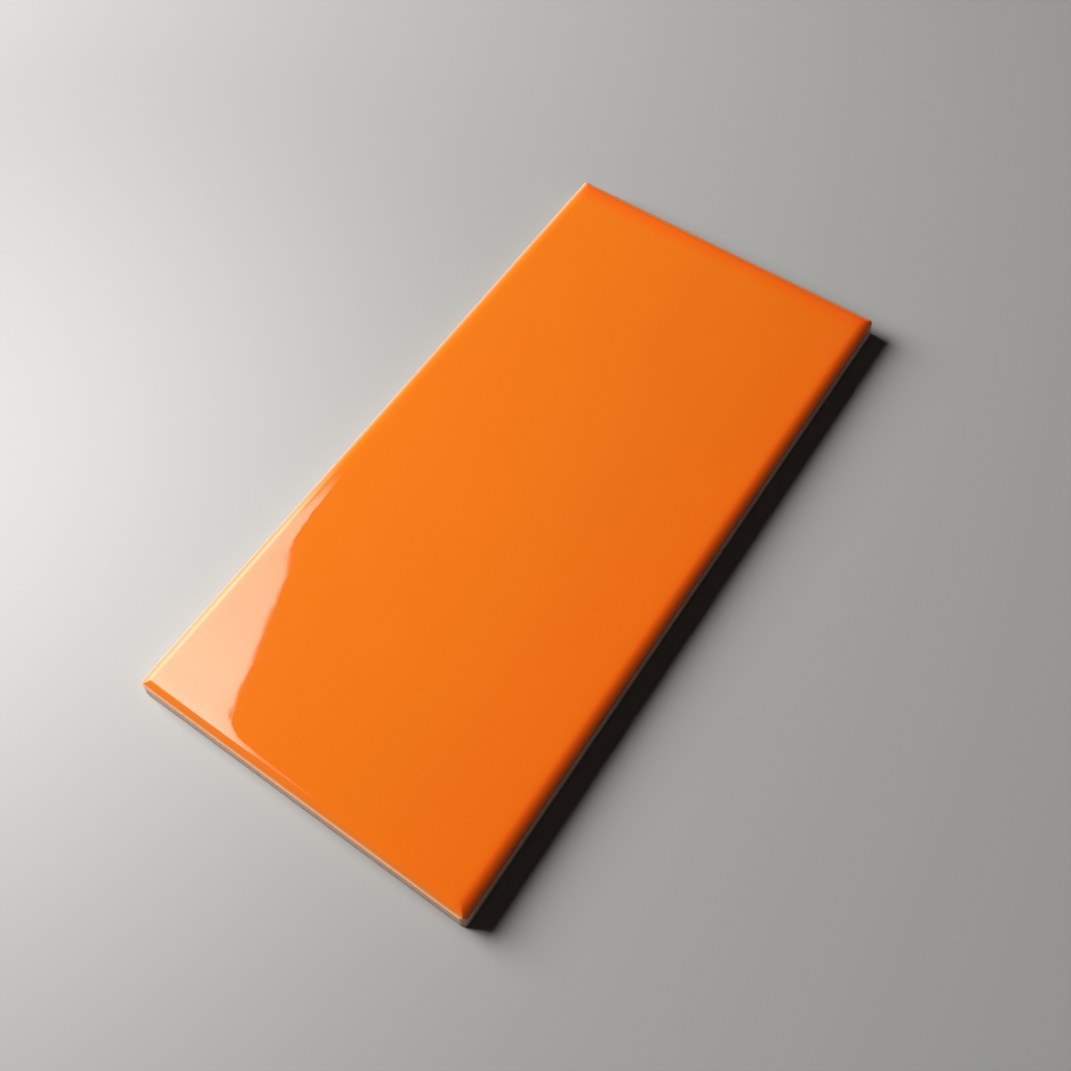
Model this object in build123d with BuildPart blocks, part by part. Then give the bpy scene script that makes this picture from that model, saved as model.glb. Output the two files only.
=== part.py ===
"""Rectangular glazed wall tile: one pressed and fired ceramic piece.

The tile lies on its back. X runs along its length, Y across its width and Z up through its
glazed face; the origin is the middle of the back.
"""
import os
from math import cos, floor, radians, sin, tan

from build123d import *

# Overall size in mm; length and width are over the widest line of the side walls
length = 200.0
width = 100.0
thickness = 7.0

# Side walls: bare clay that leans in towards the face, in degrees, so the blank leaves its mould
wall_draft = 6.0
corner_radius = 1.4
foot_bevel = 0.4

# Glazed shoulder: a wide roll down from the face, then a tight nose over to the wall
roll_radius = 6.0
roll_angle = 27.0
nose_radius = 1.0
# How far the nose stands outside the wall, which cuts it off in a soft crease
nose_overlap = 0.01

# Key grooves in the back, which the adhesive bed fills
groove_width = 6.0
groove_depth = 0.6
groove_pitch = 11.0
groove_draft = 20.0
groove_margin = 8.0

wall_slope = tan(radians(wall_draft))
nose_height = thickness - roll_radius + (roll_radius - nose_radius) * cos(radians(roll_angle))


def span_at(span, height):
    """Distance between two opposite walls at a height; it is widest at the bevel's top."""
    return span - 2 * wall_slope * (height - foot_bevel)


def face_section(plane, span):
    """Section of the flat face and its two shoulders; under them it runs clear of the walls."""
    nose_end = span_at(span, nose_height) / 2 + nose_overlap
    nose_middle = nose_end - nose_radius
    face_end = nose_middle - (roll_radius - nose_radius) * sin(radians(roll_angle))
    with BuildSketch(plane) as section:
        with BuildLine():
            base = Line((0, 0), (span, 0))
            side = Line(base @ 1, (span, nose_height))
            Line(side @ 1, (nose_end, nose_height))
            CenterArc((nose_middle, nose_height), nose_radius, 0, 90 - roll_angle)
            CenterArc((face_end, thickness - roll_radius), roll_radius, 90 - roll_angle, roll_angle)
            Line((face_end, thickness), (0, thickness))
            mirror(about=Plane.YZ)
        make_face()
    return section.sketch


with BuildPart() as tile:
    # Blank with leaning walls, drawn up past the face
    with BuildSketch() as footprint:
        Rectangle(span_at(length, 0), span_at(width, 0))
    extrude(amount=thickness + roll_radius, taper=wall_draft)

    # Rounded corners
    corner_edges = tile.edges().filter_by(Plane.XY, reverse=True)
    fillet(corner_edges, radius=corner_radius)

    # Bevel round the foot, sized along the leaning wall so that its top is at foot_bevel
    foot_edges = tile.faces().sort_by(Axis.Z)[0].edges()
    chamfer(foot_edges, length=foot_bevel / cos(radians(wall_draft)))

    # Face and shoulders, lengthways and then crossways, so that the shoulders meet in mitres
    extrude(face_section(Plane.XZ.offset(-width), length), amount=2 * width, mode=Mode.INTERSECT)
    extrude(face_section(Plane.YZ.offset(-length), width), amount=2 * length, mode=Mode.INTERSECT)

    # Key grooves, lengthways and blind, inside a margin that stays flat
    groove_count = 1 + floor((width - 2 * groove_margin - groove_width) / groove_pitch)
    with BuildSketch() as key_grooves:
        with GridLocations(0, groove_pitch, 1, groove_count):
            SlotOverall(length - 2 * groove_margin, groove_width)
    extrude(amount=groove_depth, taper=groove_draft, mode=Mode.SUBTRACT)

tile.part.label = "tile"

os.makedirs("parts", exist_ok=True)
export_step(tile.part, "parts/tile.step")
print(f"tile: {tile.part.volume:.0f} mm3, {groove_count} key grooves, {tile.part.bounding_box()}")
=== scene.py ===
# %% [markdown]
# # A glazed wall tile
# The object is one pressed and fired clay tile with a gloss orange glaze on its face and shoulders
# and bare clay on its sides and back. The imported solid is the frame: it says where the tile is and
# how large. This script makes the surface that is seen, at the same place and size.

# %% Load the frame
import math

import bpy
import numpy as np
from mathutils import Matrix, Vector, geometry, noise


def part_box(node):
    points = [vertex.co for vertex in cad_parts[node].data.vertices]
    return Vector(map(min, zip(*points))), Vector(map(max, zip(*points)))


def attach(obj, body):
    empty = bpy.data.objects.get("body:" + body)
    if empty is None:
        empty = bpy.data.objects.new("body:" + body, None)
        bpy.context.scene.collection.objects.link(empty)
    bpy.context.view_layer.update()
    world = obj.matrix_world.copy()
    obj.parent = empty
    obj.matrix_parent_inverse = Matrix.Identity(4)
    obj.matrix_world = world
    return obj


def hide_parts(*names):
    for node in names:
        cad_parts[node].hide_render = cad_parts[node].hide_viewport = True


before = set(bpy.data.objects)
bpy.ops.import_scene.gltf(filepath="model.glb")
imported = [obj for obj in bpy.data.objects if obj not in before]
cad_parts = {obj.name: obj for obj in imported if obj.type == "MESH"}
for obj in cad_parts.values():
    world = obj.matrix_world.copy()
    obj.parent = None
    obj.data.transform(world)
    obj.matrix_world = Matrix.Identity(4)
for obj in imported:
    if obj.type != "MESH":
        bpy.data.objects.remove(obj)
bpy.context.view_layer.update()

# %% [markdown]
# ## The tile's section
# Seen from the end, a real tile has a flat face, a wide roll down from it, a tight nose and a bare
# wall that leans out towards the foot. One section can describe all four sides, so it is written
# once, as stations from the face outwards and down. Each station is a distance in from the tile's
# widest line, a height, and the radius of the outline's corners there.

# %% Section sizes, in metres
MM = 0.001
tile_low, tile_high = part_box("tile")
half_length = (tile_high.x - tile_low.x) / 2
half_width = (tile_high.y - tile_low.y) / 2
face_height = tile_high.z

wall_lean = math.tan(math.radians(6.0))
foot_bevel = 0.4 * MM
corner_radius = 1.4 * MM
mitre_radius = 0.12 * MM
roll_radius = 6.0 * MM
roll_angle = math.radians(27.0)
nose_radius = 1.0 * MM
nose_overlap = 0.01 * MM


def wall_inset(height):
    """How far the leaning wall stands in from the widest line at a height."""
    return wall_lean * (height - foot_bevel)


nose_height = face_height - roll_radius + (roll_radius - nose_radius) * math.cos(roll_angle)
nose_middle = wall_inset(nose_height) - nose_overlap + nose_radius
roll_start = nose_middle + (roll_radius - nose_radius) * math.sin(roll_angle)
print("the face starts to roll", round(roll_start / MM, 2), "mm in from the widest line")

# %% [markdown]
# ## Stations
# A few outlines lie on the face itself, where the glaze starts to draw down. The roll and the nose
# follow the solid's two arcs. The glaze then runs a little way down the wall and ends in a small
# rounded lip, thicker than the clay below it, and close stations let that lip catch the light as
# real geometry. The clay wall and the bevel at the foot need only a few.

# %% Stations of the face and the roll
GLAZE, CLAY = 0, 1
stations = []


def add_station(inset, height, radius, finish, sag, wave):
    """One outline round the tile; sag says how far it follows the face's relief, wave the glaze line's."""
    stations.append(dict(inset=inset, height=height, radius=radius, finish=finish, sag=sag, wave=wave))


LEAD_RINGS = 9
LEAD_STEP = 0.5 * MM
for step in range(LEAD_RINGS, 0, -1):
    add_station(roll_start + step * LEAD_STEP, face_height, mitre_radius, GLAZE, 1, 0)
# The mitres at the corners grow wider down the roll, by this many times
MITRE_GROWTH = 3
ROLL_STEPS = 20
for step in range(ROLL_STEPS + 1):
    turn = roll_angle * step / ROLL_STEPS
    add_station(
        roll_start - roll_radius * math.sin(turn),
        face_height - roll_radius * (1 - math.cos(turn)),
        mitre_radius * (1 + (MITRE_GROWTH - 1) * step / ROLL_STEPS),
        GLAZE,
        1,
        0,
    )
print(len(stations), "stations on the face and the roll")

# %% Stations of the nose
# It turns until it meets the leaning wall
NOSE_STEPS = 14
NOSE_END = math.radians(73.9)
roll_mitre = mitre_radius * MITRE_GROWTH
for step in range(1, NOSE_STEPS + 1):
    done = step / NOSE_STEPS
    turn = roll_angle + (NOSE_END - roll_angle) * done
    add_station(
        nose_middle - nose_radius * math.sin(turn),
        nose_height + nose_radius * math.cos(turn),
        roll_mitre + (corner_radius - roll_mitre) * done,
        GLAZE,
        1 - done,
        0,
    )
print(len(stations), "stations down to the wall")

# %% Stations of the lip, the wall and the foot
# The glaze's lip: drop in mm under its middle, how far it stands out, share of the line's wave
lip_height = 5.3 * MM
GLAZE_STAND = 0.02 * MM
LIP_ROWS = ((-0.25, 1.0, 0.6), (-0.10, 1.4, 0.9), (0, 1.6, 1), (0.06, 1.2, 1), (0.09, 0.6, 1))
for drop, stand, wave in LIP_ROWS:
    height = lip_height - drop * MM
    add_station(wall_inset(height) - GLAZE_STAND * stand, height, corner_radius, GLAZE, 0, wave)
clay_top = lip_height - 0.10 * MM
WALL_STEPS = 10
for step in range(WALL_STEPS + 1):
    height = clay_top + (foot_bevel - clay_top) * step / WALL_STEPS
    add_station(wall_inset(height), height, corner_radius, CLAY, 0, 1 - step / WALL_STEPS)
# The corners' radius loses this share of the bevel
CORNER_LOSS = 0.5
for share in (0.25, 0.6, 1.0):
    inset = foot_bevel * share
    add_station(inset, foot_bevel * (1 - share), corner_radius - inset * CORNER_LOSS, CLAY, 0, 0)
print(len(stations), "stations from the face to the foot")

# %% [markdown]
# ## The face's relief
# A fired glaze is never a true plane. It swells and sinks by a few hundredths of a millimetre over
# a few centimetres. While it is molten, its own tension gathers it into a low bead round the rim,
# and outside the bead it draws down to the roll. All of this bends the reflections, most of all
# near the edges, where a straight one gets a step or a hook. A bump map could fake the shading, but
# moving the points bends the reflection and the outline alike.

# %% Relief of the glaze
# Height and length of the slow swells and of the ripples
SWELL, SWELL_LENGTH = 0.02 * MM, 40 * MM
RIPPLE, RIPPLE_LENGTH = 0.02 * MM, 14 * MM
# The bead's height, its distance in from the tile's widest line, and its width
BEAD, BEAD_IN, BEAD_WIDTH = 0.021 * MM, 4.7 * MM, 3.3 * MM
# How far the glaze draws down outside the bead, and over what distance, on the long and short sides
LONG_DRAW_DOWN, LONG_REACH = 0.049 * MM, 1.1 * MM
SHORT_DRAW_DOWN, SHORT_REACH = 0.045 * MM, 0.55 * MM
# The glaze's lower edge: height of its waves, and the length and share of the slow and the quick
LINE_WAVE = 0.12 * MM
SLOW_WAVE, SLOW_SHARE = 9 * MM, 0.7
QUICK_WAVE, QUICK_SHARE = 2.6 * MM, 0.3
# How far it ran on one long side, and where the run starts and is full, inside the widest line
LINE_RUN, RUN_START, RUN_FULL = 1.1 * MM, 1.2 * MM, 0.4 * MM
# Heights at which the noises are cut, which stand in for seeds
SWELL_CUT, RIPPLE_CUT, SLOW_CUT, QUICK_CUT = 1.3, 6.2, 1.3, 5.9


def face_relief(x, y):
    """Height of the glaze over its true plane at a point of the face."""
    rise = SWELL * noise.noise(Vector((x / SWELL_LENGTH, y / SWELL_LENGTH, SWELL_CUT)))
    rise += RIPPLE * noise.noise(Vector((x / RIPPLE_LENGTH, y / RIPPLE_LENGTH, RIPPLE_CUT)))
    for edge_in, draw_down, reach in (
        (half_width - abs(y), LONG_DRAW_DOWN, LONG_REACH),
        (half_length - abs(x), SHORT_DRAW_DOWN, SHORT_REACH),
    ):
        rise += BEAD * math.exp(-(((edge_in - BEAD_IN) / BEAD_WIDTH) ** 2))
        rise -= draw_down / (1 + math.exp((edge_in - roll_start) / reach))
    return rise - SWELL - RIPPLE - BEAD


def line_wave(x, y):
    """Rise and fall of the glaze's lower edge round the tile; it ran lower on the -Y side."""
    slow = noise.noise(Vector((x / SLOW_WAVE, y / SLOW_WAVE, SLOW_CUT)))
    quick = noise.noise(Vector((x / QUICK_WAVE, y / QUICK_WAVE, QUICK_CUT)))
    inside = half_width + y
    run = min(1.0, max(0.0, (RUN_START - inside) / (RUN_START - RUN_FULL)))
    return LINE_WAVE * (SLOW_SHARE * slow + QUICK_SHARE * quick) - LINE_RUN * run


print("relief at the middle:", round(face_relief(0, 0) / MM, 4), "mm")

# %% [markdown]
# ## Outlines and face grid
# Each station becomes a closed outline with the same number of points, so that neighbours join in
# plain quads. The points of the straight sides line up with a grid that fills the face, and each
# rounded corner fans in to one corner of the grid.

# %% Outline of a station
CELLS_LONG = 190
CELLS_WIDE = 90
ARC_STEPS = 6


def outline(inset, radius):
    """Points round a rectangle with rounded corners, anticlockwise from the low corner."""
    a, b = half_length - inset, half_width - inset
    sides = (
        (CELLS_LONG, (-a + radius, -b), (a - radius, -b)),
        (CELLS_WIDE, (a, -b + radius), (a, b - radius)),
        (CELLS_LONG, (a - radius, b), (-a + radius, b)),
        (CELLS_WIDE, (-a, b - radius), (-a, -b + radius)),
    )
    centres = (
        (a - radius, -b + radius),
        (a - radius, b - radius),
        (-a + radius, b - radius),
        (-a + radius, -b + radius),
    )
    ring = []
    for side, ((cells, start, end), centre) in enumerate(zip(sides, centres)):
        for cell in range(cells + 1):
            share = cell / cells
            ring.append((start[0] + (end[0] - start[0]) * share, start[1] + (end[1] - start[1]) * share))
        for step in range(1, ARC_STEPS):
            angle = math.pi / 2 * (side - 1 + step / ARC_STEPS)
            ring.append((centre[0] + radius * math.cos(angle), centre[1] + radius * math.sin(angle)))
    return ring


print("one outline has", len(outline(0, corner_radius)), "points")

# %% Rings down the sides
points, faces, finishes = [], [], []


def add_ring(station):
    """Adds one station's outline to the points, along the leaning wall, and returns their numbers."""
    first = len(points)
    ring = outline(station["inset"], station["radius"])
    outer = outline(station["inset"] - MM, station["radius"])
    for (x, y), (far_x, far_y) in zip(ring, outer):
        wave = station["wave"] * line_wave(x, y)
        out = -wall_lean * wave / MM
        rise = station["sag"] * face_relief(x, y) + wave
        points.append((x + (far_x - x) * out, y + (far_y - y) * out, station["height"] + rise))
    return list(range(first, len(points)))


def join_rings(inner, outer, finish):
    """Quads between two outlines."""
    for i in range(len(inner)):
        j = (i + 1) % len(inner)
        faces.append((inner[i], outer[i], outer[j], inner[j]))
        finishes.append(finish)


rings = [add_ring(station) for station in stations]
for inner, outer, station in zip(rings, rings[1:], stations[1:]):
    join_rings(inner, outer, station["finish"])
print("sides:", len(points), "points,", len(faces), "faces")

# %% Grid of the face
GRID_GAP = 0.6 * MM
grid_inset = stations[0]["inset"] + GRID_GAP
grid_x = np.linspace(-half_length + grid_inset, half_length - grid_inset, CELLS_LONG + 1)
grid_y = np.linspace(-half_width + grid_inset, half_width - grid_inset, CELLS_WIDE + 1)
grid = [[0] * (CELLS_WIDE + 1) for _ in grid_x]
for i, x in enumerate(grid_x):
    for j, y in enumerate(grid_y):
        grid[i][j] = len(points)
        points.append((x, y, face_height + face_relief(x, y)))
for i in range(CELLS_LONG):
    for j in range(CELLS_WIDE):
        faces.append((grid[i][j], grid[i + 1][j], grid[i + 1][j + 1], grid[i][j + 1]))
        finishes.append(GLAZE)
print("with the grid:", len(points), "points,", len(faces), "faces")

# %% Join the grid to the sides
border = []
sides_of_grid = (
    [grid[i][0] for i in range(CELLS_LONG + 1)],
    grid[CELLS_LONG],
    [grid[i][CELLS_WIDE] for i in range(CELLS_LONG, -1, -1)],
    grid[0][::-1],
)
for side in sides_of_grid:
    border += side + [side[-1]] * (ARC_STEPS - 1)
for i in range(len(border)):
    j = (i + 1) % len(border)
    corners = [border[i], rings[0][i], rings[0][j], border[j]]
    faces.append(tuple(dict.fromkeys(corners)))
    finishes.append(GLAZE)
print("face and sides:", len(points), "points,", len(faces), "faces")

# %% [markdown]
# ## The keyed back
# A wall tile's back has shallow grooves that the adhesive grips. Cutting them with a Boolean would
# work, but a flat sheet with long holes is easy to triangulate exactly, and the groove walls then
# share its points, so the piece stays closed.

# %% Groove outlines
GROOVES = 8
GROOVE_ARC = 12
groove_pitch = 11 * MM
groove_width = 6 * MM
groove_depth = 0.6 * MM
groove_margin = 8 * MM
groove_half = half_length - groove_margin
groove_slope = math.tan(math.radians(20.0))


def slot_outline(middle, shrink):
    """Points round one long groove with round ends, drawn in by shrink."""
    radius = groove_width / 2 - shrink
    reach = groove_half - groove_width / 2
    ring = []
    for end, start_angle in ((reach, -math.pi / 2), (-reach, math.pi / 2)):
        for step in range(GROOVE_ARC + 1):
            angle = start_angle + math.pi * step / GROOVE_ARC
            ring.append((end + radius * math.cos(angle), middle + radius * math.sin(angle)))
    return ring


foot_ring = rings[-1]
loops = [foot_ring]
groove_loops = []
groove_middles = [(groove - (GROOVES - 1) / 2) * groove_pitch for groove in range(GROOVES)]
for middle in groove_middles:
    mouth, floor_loop = [], []
    for shrink, height, loop in ((0, 0, mouth), (groove_depth * groove_slope, groove_depth, floor_loop)):
        for x, y in slot_outline(middle, shrink):
            loop.append(len(points))
            points.append((x, y, height))
    loops.append(mouth)
    groove_loops.append((mouth, floor_loop))
print(len(groove_loops), "grooves,", round(2 * groove_half / MM), "mm long")

# %% Flat sheet round the grooves
# Points nearer than the first are joined; the second keeps a groove's rim out of its mouth
JOIN_DISTANCE, RIM_MARGIN = 1e-7, 1e-6
numbers = [n for loop in loops for n in loop]
edges, start = [], 0
for loop in loops:
    edges += [(start + i, start + (i + 1) % len(loop)) for i in range(len(loop))]
    start += len(loop)
flat = [Vector(points[n][:2]) for n in numbers]
made, _, triangles, origins, _, _ = geometry.delaunay_2d_cdt(flat, edges, [], 1, JOIN_DISTANCE)


def inside_groove(x, y):
    """Whether a point of the back lies in a groove's mouth."""
    past_end = max(0.0, abs(x) - groove_half + groove_width / 2)
    radius = groove_width / 2 - RIM_MARGIN
    return any(math.hypot(past_end, y - middle) < radius for middle in groove_middles)


for triangle in triangles:
    corners = [made[n] for n in triangle]
    x, y = sum(c.x for c in corners) / 3, sum(c.y for c in corners) / 3
    if not inside_groove(x, y):
        faces.append(tuple(numbers[origins[n][0]] for n in reversed(triangle)))
        finishes.append(CLAY)
print("with the sheet:", len(faces), "faces")

# %% Groove walls and floors
for mouth, floor_loop in groove_loops:
    for i in range(len(mouth)):
        j = (i + 1) % len(mouth)
        faces.append((mouth[j], mouth[i], floor_loop[i], floor_loop[j]))
        finishes.append(CLAY)
    faces.append(tuple(reversed(floor_loop)))
    finishes.append(CLAY)
print("with the back:", len(points), "points,", len(faces), "faces")

# %% [markdown]
# ## One mesh, one piece
# The glaze is fused to the clay, so both are one mesh with two finishes and not two shells. Smooth
# shading suits the rolled shoulders; edges that turn sharply, at the bevel and the grooves, are kept
# crisp by their angle.

# %% Make the tile piece
SHARP_ANGLE = math.radians(28)
mesh = bpy.data.meshes.new("glazed_tile")
mesh.from_pydata(points, [], faces)
mesh.validate()
mesh.polygons.foreach_set("material_index", finishes)
mesh.shade_smooth()
mesh.set_sharp_from_angle(angle=SHARP_ANGLE)
tile = bpy.data.objects.new("glazed_tile", mesh)
bpy.context.collection.objects.link(tile)
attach(tile, "root")
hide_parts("tile")
mesh.calc_loop_triangles()
print("tile piece:", len(mesh.loop_triangles), "triangles")

# %% [markdown]
# ## Tone from the kiln
# Fired things are not one flat colour: the heat leaves slow clouds of tone, and the raw materials
# leave specks. Glaze and clay both show it at different sizes and strengths, so the effect is a
# node group that each finish uses with its own values. A few helpers first keep the node work short.


# %% Helpers for nodes
def add_node(tree, kind, **settings):
    """A node with its settings; a key that names an input sets that input's value."""
    node = tree.nodes.new(kind)
    for key, value in settings.items():
        if key in node.inputs:
            node.inputs[key].default_value = value
        else:
            setattr(node, key, value)
    return node


def feed(tree, value, socket):
    """Gives an input another node's output, or a plain value."""
    if isinstance(value, bpy.types.NodeSocket):
        tree.links.new(value, socket)
    else:
        socket.default_value = value


def mix_colour(tree, factor, first, second):
    """A mix of two colours. Returns its result socket."""
    node = add_node(tree, "ShaderNodeMix", data_type="RGBA")
    for value, number in ((factor, 0), (first, 6), (second, 7)):
        feed(tree, value, node.inputs[number])
    return node.outputs[2]


def map_range(tree, value, from_min, from_max, to_min, to_max, interpolation="LINEAR"):
    """A range of one value turned into another. Returns its result socket."""
    node = add_node(tree, "ShaderNodeMapRange", interpolation_type=interpolation)
    for number, given in enumerate((value, from_min, from_max, to_min, to_max)):
        feed(tree, given, node.inputs[number])
    return node.outputs["Result"]


def calculate(tree, operation, first, second=0.0):
    """One sum with two sockets or numbers. Returns its result socket."""
    node = add_node(tree, "ShaderNodeMath", operation=operation)
    feed(tree, first, node.inputs[0])
    feed(tree, second, node.inputs[1])
    return node.outputs[0]


# %% Kiln tone group
kiln_tone = bpy.data.node_groups.new("kiln_tone", "ShaderNodeTree")
for name, kind, default in (
    ("Colour", "NodeSocketColor", (0.5, 0.5, 0.5, 1)),
    ("Cloud colour", "NodeSocketColor", (0.5, 0.5, 0.5, 1)),
    ("Speck colour", "NodeSocketColor", (0.2, 0.2, 0.2, 1)),
    ("Cloud scale", "NodeSocketFloat", 30.0),
    ("Cloud amount", "NodeSocketFloat", 0.5),
    ("Speck scale", "NodeSocketFloat", 900.0),
    ("Speck limit", "NodeSocketFloat", 0.7),
    ("Speck amount", "NodeSocketFloat", 0.5),
):
    socket = kiln_tone.interface.new_socket(name, in_out="INPUT", socket_type=kind)
    socket.default_value = default
tone_outputs = (("Colour", "NodeSocketColor"), ("Cloud", "NodeSocketFloat"), ("Speck", "NodeSocketFloat"))
for name, kind in tone_outputs:
    kiln_tone.interface.new_socket(name, in_out="OUTPUT", socket_type=kind)

given = kiln_tone.nodes.new("NodeGroupInput").outputs
place = kiln_tone.nodes.new("ShaderNodeTexCoord").outputs["Object"]
cloud = add_node(kiln_tone, "ShaderNodeTexNoise", Detail=3.0, Roughness=0.5)
speck = add_node(kiln_tone, "ShaderNodeTexNoise", Detail=1.0, Roughness=0.4)
for texture, scale in ((cloud, "Cloud scale"), (speck, "Speck scale")):
    feed(kiln_tone, place, texture.inputs["Vector"])
    feed(kiln_tone, given[scale], texture.inputs["Scale"])
SPECK_EDGE = 0.06
speck_top = calculate(kiln_tone, "ADD", given["Speck limit"], SPECK_EDGE)
specks = map_range(kiln_tone, speck.outputs["Fac"], given["Speck limit"], speck_top, 0.0, 1.0, "SMOOTHSTEP")
cloud_depth = calculate(kiln_tone, "MULTIPLY", cloud.outputs["Fac"], given["Cloud amount"])
speck_depth = calculate(kiln_tone, "MULTIPLY", specks, given["Speck amount"])
clouded = mix_colour(kiln_tone, cloud_depth, given["Colour"], given["Cloud colour"])
specked = mix_colour(kiln_tone, speck_depth, clouded, given["Speck colour"])
result = kiln_tone.nodes.new("NodeGroupOutput").inputs
for name, value in (("Colour", specked), ("Cloud", cloud.outputs["Fac"]), ("Speck", specks)):
    feed(kiln_tone, value, result[name])
print("kiln tone group has", len(kiln_tone.nodes), "nodes")

# %% [markdown]
# ## Gloss orange glaze
# The glaze is opaque orange glass. Its gloss is nearly a mirror, so roughness is very low and the
# index is that of glass. Its tone slopes a little from one long side to the other, a painted slope of
# light: yellower on the lamp's side and redder on the side in shade. Along that shaded long side and
# the far end, where the rolls turn from the lamp, it is painted deeper and redder still, a painted
# shade. Over the other noses the glaze drew thin, first to a browner ring and then to a pale line,
# which is partly where the clay shows through and partly a painted highlight. Each of these goes by
# the place on the tile, so they are ranges of X, Y and Z, which stay right at any resolution. The
# finest ripple of the surface is too small for points and is a faint bump.


# %% Helpers for finishes
def new_finish(name):
    """An empty material with a Principled shader."""
    material = bpy.data.materials.new(name)
    material.use_nodes = True
    tree = material.node_tree
    tree.nodes.clear()
    shader = tree.nodes.new("ShaderNodeBsdfPrincipled")
    output = tree.nodes.new("ShaderNodeOutputMaterial")
    tree.links.new(shader.outputs[0], output.inputs[0])
    return material, tree, shader


def add_kiln_tone(tree, **values):
    """The kiln tone group with one finish's own values."""
    node = tree.nodes.new("ShaderNodeGroup")
    node.node_tree = kiln_tone
    for key, value in values.items():
        node.inputs[key.replace("_", " ")].default_value = value
    return node


def find_place(tree):
    """A point's place in the shared frame: whole, and its X, Y and Z."""
    place = tree.nodes.new("ShaderNodeTexCoord").outputs["Object"]
    parts = tree.nodes.new("ShaderNodeSeparateXYZ")
    tree.links.new(place, parts.inputs[0])
    return place, parts.outputs["X"], parts.outputs["Y"], parts.outputs["Z"]


# %% Glaze colour from the kiln
glaze, tree, shader = new_finish("gloss_orange_glaze")
place, x, y, z = find_place(tree)
glaze_tone = add_kiln_tone(
    tree,
    Cloud_colour=(0.86, 0.177, 0.0092, 1),
    Speck_colour=(0.62, 0.10, 0.005, 1),
    Cloud_scale=28.0,
    Cloud_amount=0.9,
    Speck_scale=1500.0,
    Speck_limit=0.72,
    Speck_amount=0.2,
)
# Painted light: a slope across the face, yellower on the lamp's side and redder on the side in shade
painted_light_slope = map_range(tree, y, -half_width, half_width, 0.0, 1.0)
light_sloped_colour = mix_colour(tree, painted_light_slope, (0.940, 0.177, 0.0090, 1), (0.878, 0.210, 0.0135, 1))
feed(tree, light_sloped_colour, glaze_tone.inputs["Colour"])
print("glaze starts with", len(tree.nodes), "nodes")

# %% Painted shade on the glaze
# Painted shade: redder towards the long side in shade and the far end, as those rolls turn from the lamp
painted_shade_red = (1.0, 0.105, 0.005, 1)
painted_shade_lean = map_range(tree, y, -15.0 * MM, -43.0 * MM, 0.0, 0.18)
painted_shade_side = map_range(tree, y, -44.5 * MM, -48.3 * MM, 0.0, 0.85, "SMOOTHSTEP")
painted_shade_end = map_range(tree, x, 91.0 * MM, 96.5 * MM, 0.0, 0.5, "SMOOTHSTEP")
shade_painted_colour = glaze_tone.outputs["Colour"]
for share in (painted_shade_lean, painted_shade_side, painted_shade_end):
    shade_painted_colour = mix_colour(tree, share, shade_painted_colour, painted_shade_red)
print("with its thick places it has", len(tree.nodes), "nodes")

# %% Where the glaze drew thin, with a painted highlight on its pale line
# Both tones are left off the long side in shade, since the pale line is partly a painted highlight
off_shaded_side = map_range(tree, y, -47.4 * MM, -45.4 * MM, 0.05, 1.0)
on_near_end = map_range(tree, calculate(tree, "SUBTRACT", y, x), 49.7 * MM, 50.3 * MM, 0.0, 1.0)
thin_and_highlight_sides = calculate(tree, "MAXIMUM", off_shaded_side, on_near_end)
thinning = map_range(tree, z, 6.80 * MM, 6.46 * MM, 0.0, 1.0, "SMOOTHSTEP")
ring_colour = (0.79, 0.187, 0.022, 1)
thin_colour = mix_colour(tree, calculate(tree, "MULTIPLY", thinning, thin_and_highlight_sides), shade_painted_colour, ring_colour)
# Pale line: partly clay showing through thin glaze, partly a painted highlight on the nose
bare_and_highlight_line = map_range(tree, z, 6.34 * MM, 5.96 * MM, 0.0, 1.0, "SMOOTHSTEP")
bare_and_highlight_colour = mix_colour(tree, painted_light_slope, (0.90, 0.535, 0.32, 1), (0.80, 0.475, 0.28, 1))
glaze_colour = mix_colour(tree, calculate(tree, "MULTIPLY", bare_and_highlight_line, thin_and_highlight_sides), thin_colour, bare_and_highlight_colour)
feed(tree, glaze_colour, shader.inputs["Base Color"])
print("with its thin places it has", len(tree.nodes), "nodes")

# %% Glaze surface
feed(tree, map_range(tree, glaze_tone.outputs["Cloud"], 0.3, 0.7, 0.02, 0.035), shader.inputs["Roughness"])
shader.inputs["IOR"].default_value = 1.52
peel = add_node(tree, "ShaderNodeTexNoise", Scale=420.0, Detail=2.0, Roughness=0.5)
feed(tree, place, peel.inputs["Vector"])
ripple = add_node(tree, "ShaderNodeBump", Strength=0.008, Distance=0.0004)
feed(tree, peel.outputs["Fac"], ripple.inputs["Height"])
feed(tree, ripple.outputs["Normal"], shader.inputs["Normal"])
mesh.materials.append(glaze)
print("glaze finish has", len(tree.nodes), "nodes")

# %% [markdown]
# ## Bare clay
# The body under the glaze is pale pinkish clay, fired but not glassy: matt, grainy, with fine dark
# specks and pores. It is darker towards the foot, a painted shade where the wall meets the floor.
# The far long wall, which the camera doesn't see, faces the lamp, where clay as pale as this renders
# white. It has a darker tone for that reason alone: a choice for this light, and not a known fact of
# the tile. Both are ranges of the place again. The grain is far too small for points, so it is a bump
# of two sizes of noise.

# %% Clay finish
clay, tree, shader = new_finish("bare_fired_clay")
place, _, y, z = find_place(tree)
clay_tone = add_kiln_tone(
    tree,
    Colour=(0.72, 0.470, 0.346, 1),
    Cloud_colour=(0.635, 0.412, 0.300, 1),
    Speck_colour=(0.30, 0.195, 0.14, 1),
    Cloud_scale=70.0,
    Cloud_amount=0.8,
    Speck_scale=2400.0,
    Speck_limit=0.66,
    Speck_amount=0.5,
)
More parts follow.
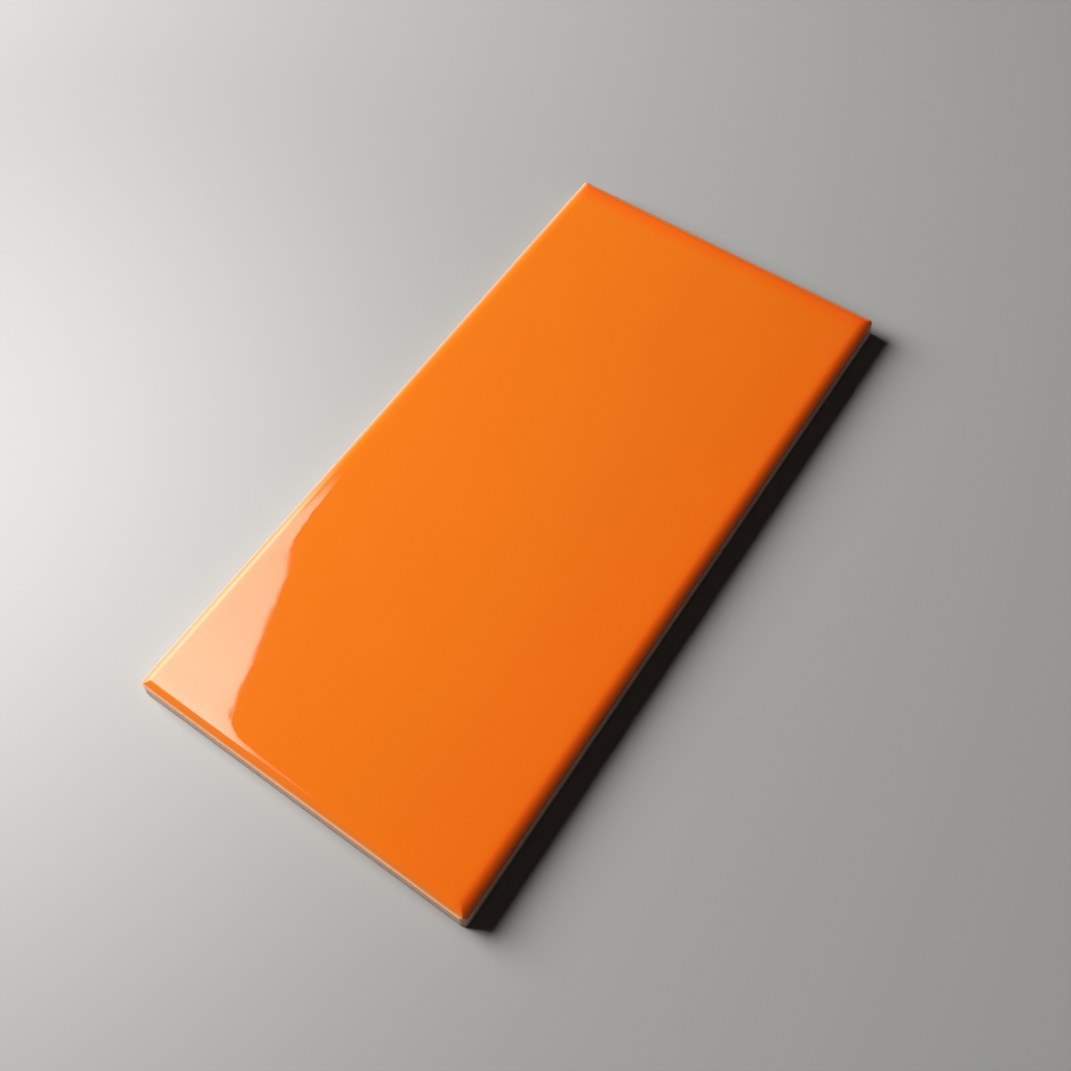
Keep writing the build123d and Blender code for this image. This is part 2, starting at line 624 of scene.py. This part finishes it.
# Painted shade: the clay darkens towards the foot, where the floor shades the wall
painted_foot_shade = map_range(tree, z, 2.5 * MM, 0.1 * MM, 0.0, 1.0, "SMOOTHSTEP")
foot_shade_colour, far_wall_tone = (0.39, 0.273, 0.21, 1), (0.36, 0.25, 0.185, 1)
foot_shaded_colour = mix_colour(tree, painted_foot_shade, clay_tone.outputs["Colour"], foot_shade_colour)
far_wall = map_range(tree, y, 48.8 * MM, 49.4 * MM, 0.0, 0.92, "SMOOTHSTEP")
clay_colour = mix_colour(tree, far_wall, foot_shaded_colour, far_wall_tone)
feed(tree, clay_colour, shader.inputs["Base Color"])
feed(tree, map_range(tree, clay_tone.outputs["Cloud"], 0.3, 0.7, 0.82, 0.95), shader.inputs["Roughness"])
grain = add_node(tree, "ShaderNodeTexNoise", Scale=2200.0, Detail=4.0, Roughness=0.65)
feed(tree, place, grain.inputs["Vector"])
grain_bump = add_node(tree, "ShaderNodeBump", Strength=0.5, Distance=0.0002)
feed(tree, grain.outputs["Fac"], grain_bump.inputs["Height"])
pore_bump = add_node(tree, "ShaderNodeBump", Strength=0.5, Distance=0.0002, invert=True)
feed(tree, clay_tone.outputs["Speck"], pore_bump.inputs["Height"])
feed(tree, grain_bump.outputs["Normal"], pore_bump.inputs["Normal"])
feed(tree, pore_bump.outputs["Normal"], shader.inputs["Normal"])
mesh.materials.append(clay)
print("clay finish has", len(tree.nodes), "nodes")

# %% [markdown]
# ## Floor
# A plain matt floor, large enough to reach the horizon in low views, with a paler patch on the side
# that the light comes from: a painted sheen. Far from the tile it turns into one even backdrop tone,
# but only for what is seen straight or mirrored in the gloss, so the backdrop adds no light and the
# tile keeps its shadow.

# %% Floor
FLOOR_REACH = 6.0
BACKDROP = (0.50, 0.497, 0.485, 1)
floor_mesh = bpy.data.meshes.new("floor")
floor_corners = [(a * FLOOR_REACH, b * FLOOR_REACH, 0) for a, b in ((-1, -1), (1, -1), (1, 1), (-1, 1))]
floor_mesh.from_pydata(floor_corners, [], [(0, 1, 2, 3)])
floor = bpy.data.objects.new("floor", floor_mesh)
bpy.context.collection.objects.link(floor)
print("floor is", 2 * FLOOR_REACH, "m wide")


# %% Helpers for the floor's finish
def seen_or_mirrored(tree):
    """1 for what the camera sees straight or in gloss or glass, 0 for light that falls on things."""
    path = tree.nodes.new("ShaderNodeLightPath")
    seen = calculate(tree, "ADD", path.outputs["Is Camera Ray"], path.outputs["Is Glossy Ray"])
    seen = calculate(tree, "ADD", seen, path.outputs["Is Transmission Ray"])
    return calculate(tree, "MINIMUM", seen, 1.0)


def distance_from(tree, place, spot):
    """How far a place is from a spot of the frame."""
    node = add_node(tree, "ShaderNodeVectorMath", operation="DISTANCE")
    feed(tree, place, node.inputs[0])
    feed(tree, spot, node.inputs[1])
    return node.outputs["Value"]


# %% Floor finish
floor_finish, tree, shader = new_finish("pale_floor")
place = tree.nodes.new("ShaderNodeTexCoord").outputs["Object"]
# Painted sheen: a paler patch of floor on the lamp's side
painted_sheen = map_range(tree, distance_from(tree, place, (-0.10, 0.11, 0)), 0.20, 0.0, 0.0, 1.0, "SMOOTHSTEP")
floor_colour = mix_colour(tree, painted_sheen, (0.405, 0.401, 0.386, 1), (0.58, 0.574, 0.554, 1))
feed(tree, floor_colour, shader.inputs["Base Color"])
shader.inputs["Roughness"].default_value = 0.9
shader.inputs["Specular IOR Level"].default_value = 0.0
far_off = map_range(tree, distance_from(tree, place, (0, 0, 0)), 0.29, 0.62, 0.0, 1.0, "SMOOTHSTEP")
backdrop = add_node(tree, "ShaderNodeEmission", Color=BACKDROP)
blend = tree.nodes.new("ShaderNodeMixShader")
feed(tree, calculate(tree, "MULTIPLY", far_off, seen_or_mirrored(tree)), blend.inputs[0])
feed(tree, shader.outputs[0], blend.inputs[1])
feed(tree, backdrop.outputs[0], blend.inputs[2])
feed(tree, blend.outputs[0], tree.nodes["Material Output"].inputs[0])
floor_mesh.materials.append(floor_finish)
print("floor finish has", len(tree.nodes), "nodes")

# %% [markdown]
# ## Camera
# The camera stands where the photograph was taken: a fit to the tile's four edges gave its place,
# its aim, a small roll and the lens.

# %% Camera
IMAGE_PIXELS = 1071
FOCAL_PIXELS = 1098.8
SENSOR = 36
camera_place = Vector((-115.95, -87.62, 260.07)) * MM
camera_aim = Vector((-9.10, -6.28, 0)) * MM
camera_roll = math.radians(-3.0)
camera_data = bpy.data.cameras.new("camera")
camera_data.sensor_width = SENSOR
camera_data.lens = SENSOR * FOCAL_PIXELS / IMAGE_PIXELS
camera_data.clip_start = 0.01
camera = bpy.data.objects.new("camera", camera_data)
bpy.context.collection.objects.link(camera)
back = (camera_place - camera_aim).normalized()
right = Vector((0, 0, 1)).cross(back).normalized()
up = back.cross(right)
turned_right = math.cos(camera_roll) * right + math.sin(camera_roll) * up
turned_up = -math.sin(camera_roll) * right + math.cos(camera_roll) * up
camera.matrix_world = Matrix(
    [(turned_right[i], turned_up[i], back[i], camera_place[i]) for i in range(3)] + [(0, 0, 0, 1)]
)
bpy.context.scene.camera = camera
print("camera looks", round(math.degrees(math.asin(back.z)), 1), "degrees down")

# %% [markdown]
# ## Lamp
# One soft round lamp stands on the tile's far side, low enough to throw a shadow longer than the tile
# is thick. Its width sets how soft the shadow's edge is. It is kept out of the gloss, because what
# the gloss mirrors is made separately.

# %% Lamp
lamp_data = bpy.data.lights.new("side_lamp", "AREA")
lamp_data.shape = "DISK"
lamp_data.size = 0.66
lamp_data.energy = 21.9
lamp = bpy.data.objects.new("side_lamp", lamp_data)
bpy.context.collection.objects.link(lamp)
lamp.location = (-0.155, 0.85, 0.515)
lamp.rotation_euler = (-lamp.location).to_track_quat("-Z", "Y").to_euler()
lamp.visible_glossy = False
print("lamp stands", round(math.degrees(math.atan2(lamp.location.z, lamp.location.y)), 1), "degrees up")

# %% [markdown]
# ## What the gloss mirrors
# A gloss face shows what stands round it, so its reflections are placed on purpose, on glowing cards
# that only reflections see: they add no light and throw no shadow. The large card stands on the
# lamp's side. Where its reflection ends on the face tells where its slanted edge must be: a mirror
# image of the camera under the face looks out through that spot and straight at the edge. The card is
# dimmer towards the horizon, since gloss mirrors far more at a low angle, and a face seen from low
# down would turn white.


# %% Helper for cards
def add_card(name, left, right, low, high, along):
    """An upright glowing sheet that only reflections see. Returns its node tree, glow, X and Z."""
    corners = [(left, low), (right, low), (right, high), (left, high)]
    card_mesh = bpy.data.meshes.new(name)
    card_mesh.from_pydata([(x, along, z) for x, z in corners], [], [(0, 1, 2, 3)])
    card = bpy.data.objects.new(name, card_mesh)
    bpy.context.collection.objects.link(card)
    card.visible_camera = card.visible_diffuse = card.visible_shadow = False
    finish = bpy.data.materials.new(name)
    finish.use_nodes = True
    tree = finish.node_tree
    tree.nodes.clear()
    glow = add_node(tree, "ShaderNodeEmission", Color=(1.0, 0.99, 0.90, 1))
    clear = tree.nodes.new("ShaderNodeBsdfTransparent")
    both = tree.nodes.new("ShaderNodeAddShader")
    feed(tree, glow.outputs[0], both.inputs[0])
    feed(tree, clear.outputs[0], both.inputs[1])
    feed(tree, both.outputs[0], tree.nodes.new("ShaderNodeOutputMaterial").inputs[0])
    card_mesh.materials.append(finish)
    _, across, _, upward = find_place(tree)
    return tree, glow, across, upward


# %% Place of the large card's edge
CARD_AWAY = 0.46
EDGE_SOFT = 0.006
mirror_camera = Vector((camera_place.x, camera_place.y, 2 * face_height - camera_place.z))
tree, glow, across, upward = add_card(
    "gloss_card", left=-0.65, right=0.60, low=0.03, high=1.40, along=CARD_AWAY
)
# Two points of the face, in mm, that the reflection's edge runs through
EDGE_AT_END, EDGE_AT_SIDE = (-89.5, 25.9), (-54.3, 38.6)


def seen_in_glaze(x, y):
    """Point of the card's plane that the camera sees mirrored at a point of the face, in mm."""
    ray = Vector((x * MM, y * MM, face_height)) - mirror_camera
    return mirror_camera + ray * ((CARD_AWAY - mirror_camera.y) / ray.y)


edge_high, edge_low = seen_in_glaze(*EDGE_AT_END), seen_in_glaze(*EDGE_AT_SIDE)
print("card edge from", [round(v, 3) for v in edge_high], "to", [round(v, 3) for v in edge_low])


# %% Brightness of the large card
def beside(low_point, high_point, soft):
    """1 on the left of a slanted line through two points of the card, 0 on its right."""
    slant = (high_point[0] - low_point[0]) / (high_point[1] - low_point[1])
    shift = calculate(tree, "SUBTRACT", across, calculate(tree, "MULTIPLY", upward, slant))
    line = low_point[0] - slant * low_point[1]
    return map_range(tree, shift, line - soft, line + soft, 1.0, 0.0, "SMOOTHSTEP")


across_squared = calculate(tree, "MULTIPLY", across, across)
away = calculate(tree, "SQRT", calculate(tree, "ADD", across_squared, CARD_AWAY**2))
steepness = calculate(tree, "DIVIDE", upward, away)
brightness = map_range(tree, across, -0.08, 0.25, 9.6, 5.2)
# Its slanted edge, its lower right side, its low left side, its left end, its top and its horizon
for share in (
    beside((edge_low.x, edge_low.z), (edge_high.x, edge_high.z), EDGE_SOFT),
    beside((0.047, 0.25), (0.238, 0.803), 5 * EDGE_SOFT),
    calculate(tree, "SUBTRACT", 1.0, beside((-0.13, 0.25), (-0.47, 1.0), 0.07)),
    map_range(tree, across, -0.51, -0.41, 0.0, 1.0, "SMOOTHSTEP"),
    map_range(tree, upward, 1.20, 0.92, 0.15, 1.0, "SMOOTHSTEP"),
    map_range(tree, steepness, 1.2, 0.6, 1.0, 0.1, "SMOOTHSTEP"),
):
    brightness = calculate(tree, "MULTIPLY", brightness, share)
low_glow = map_range(tree, upward, 0.09, 0.27, 1.8, 0.0, "SMOOTHSTEP")
feed(tree, calculate(tree, "ADD", brightness, low_glow), glow.inputs["Strength"])
print("large card has", len(tree.nodes), "nodes")

# %% [markdown]
# ## The thin line on the far side
# A gloss roll is a curved mirror, which squeezes what stands behind it into a thin pale line along
# the far long side. A lamp there would light the clay wall as well, and a larger card would whiten
# low views, so a small card stands close behind that side, and little else mirrors it.

# %% Small card behind the far long side
RIM_CARD_AWAY = 1.5 * MM
rim_along = half_width + RIM_CARD_AWAY
tree, glow, across, upward = add_card(
    "rim_card", left=-0.102, right=-0.015, low=0.005, high=0.0125, along=rim_along
)
brightness = map_range(tree, upward, 7.0 * MM, 9.2 * MM, 0.9, 10.0)
# Its top and its right end
for share in (
    map_range(tree, upward, 12.4 * MM, 9.5 * MM, 0.0, 1.0, "SMOOTHSTEP"),
    map_range(tree, across, -0.020, -0.048, 0.0, 1.0, "SMOOTHSTEP"),
):
    brightness = calculate(tree, "MULTIPLY", brightness, share)
feed(tree, brightness, glow.inputs["Strength"])
print("small card stands", round(RIM_CARD_AWAY / MM, 1), "mm behind the far long side")

# %% [markdown]
# ## World
# A faint world fills the shadows, a little brighter at the horizon than overhead. For what is seen or
# mirrored, the horizon takes the floor's backdrop tone, so that low views have no dark edge.

# %% World
world = bpy.data.worlds.new("studio")
world.use_nodes = True
tree = world.node_tree
tree.nodes.clear()
sky = tree.nodes.new("ShaderNodeBackground")
feed(tree, sky.outputs[0], tree.nodes.new("ShaderNodeOutputWorld").inputs[0])
direction = tree.nodes.new("ShaderNodeSeparateXYZ")
feed(tree, tree.nodes.new("ShaderNodeTexCoord").outputs["Generated"], direction.inputs[0])
fade = tree.nodes.new("ShaderNodeValToRGB")
feed(tree, direction.outputs["Z"], fade.inputs[0])
fade.color_ramp.elements[0].position = 0.04
fade.color_ramp.elements[0].color = (0.16, 0.16, 0.158, 1)
fade.color_ramp.elements[1].position = 0.25
fade.color_ramp.elements[1].color = (0.015, 0.015, 0.015, 1)
low_sky = map_range(tree, direction.outputs["Z"], 0.34, 0.16, 0.0, 1.0, "SMOOTHSTEP")
pale = calculate(tree, "MULTIPLY", low_sky, seen_or_mirrored(tree))
feed(tree, mix_colour(tree, pale, fade.outputs[0], BACKDROP), sky.inputs["Color"])
bpy.context.scene.world = world
bpy.context.scene.view_settings.view_transform = "Standard"
print("world fill is", round(fade.color_ramp.elements[1].color[0], 3))
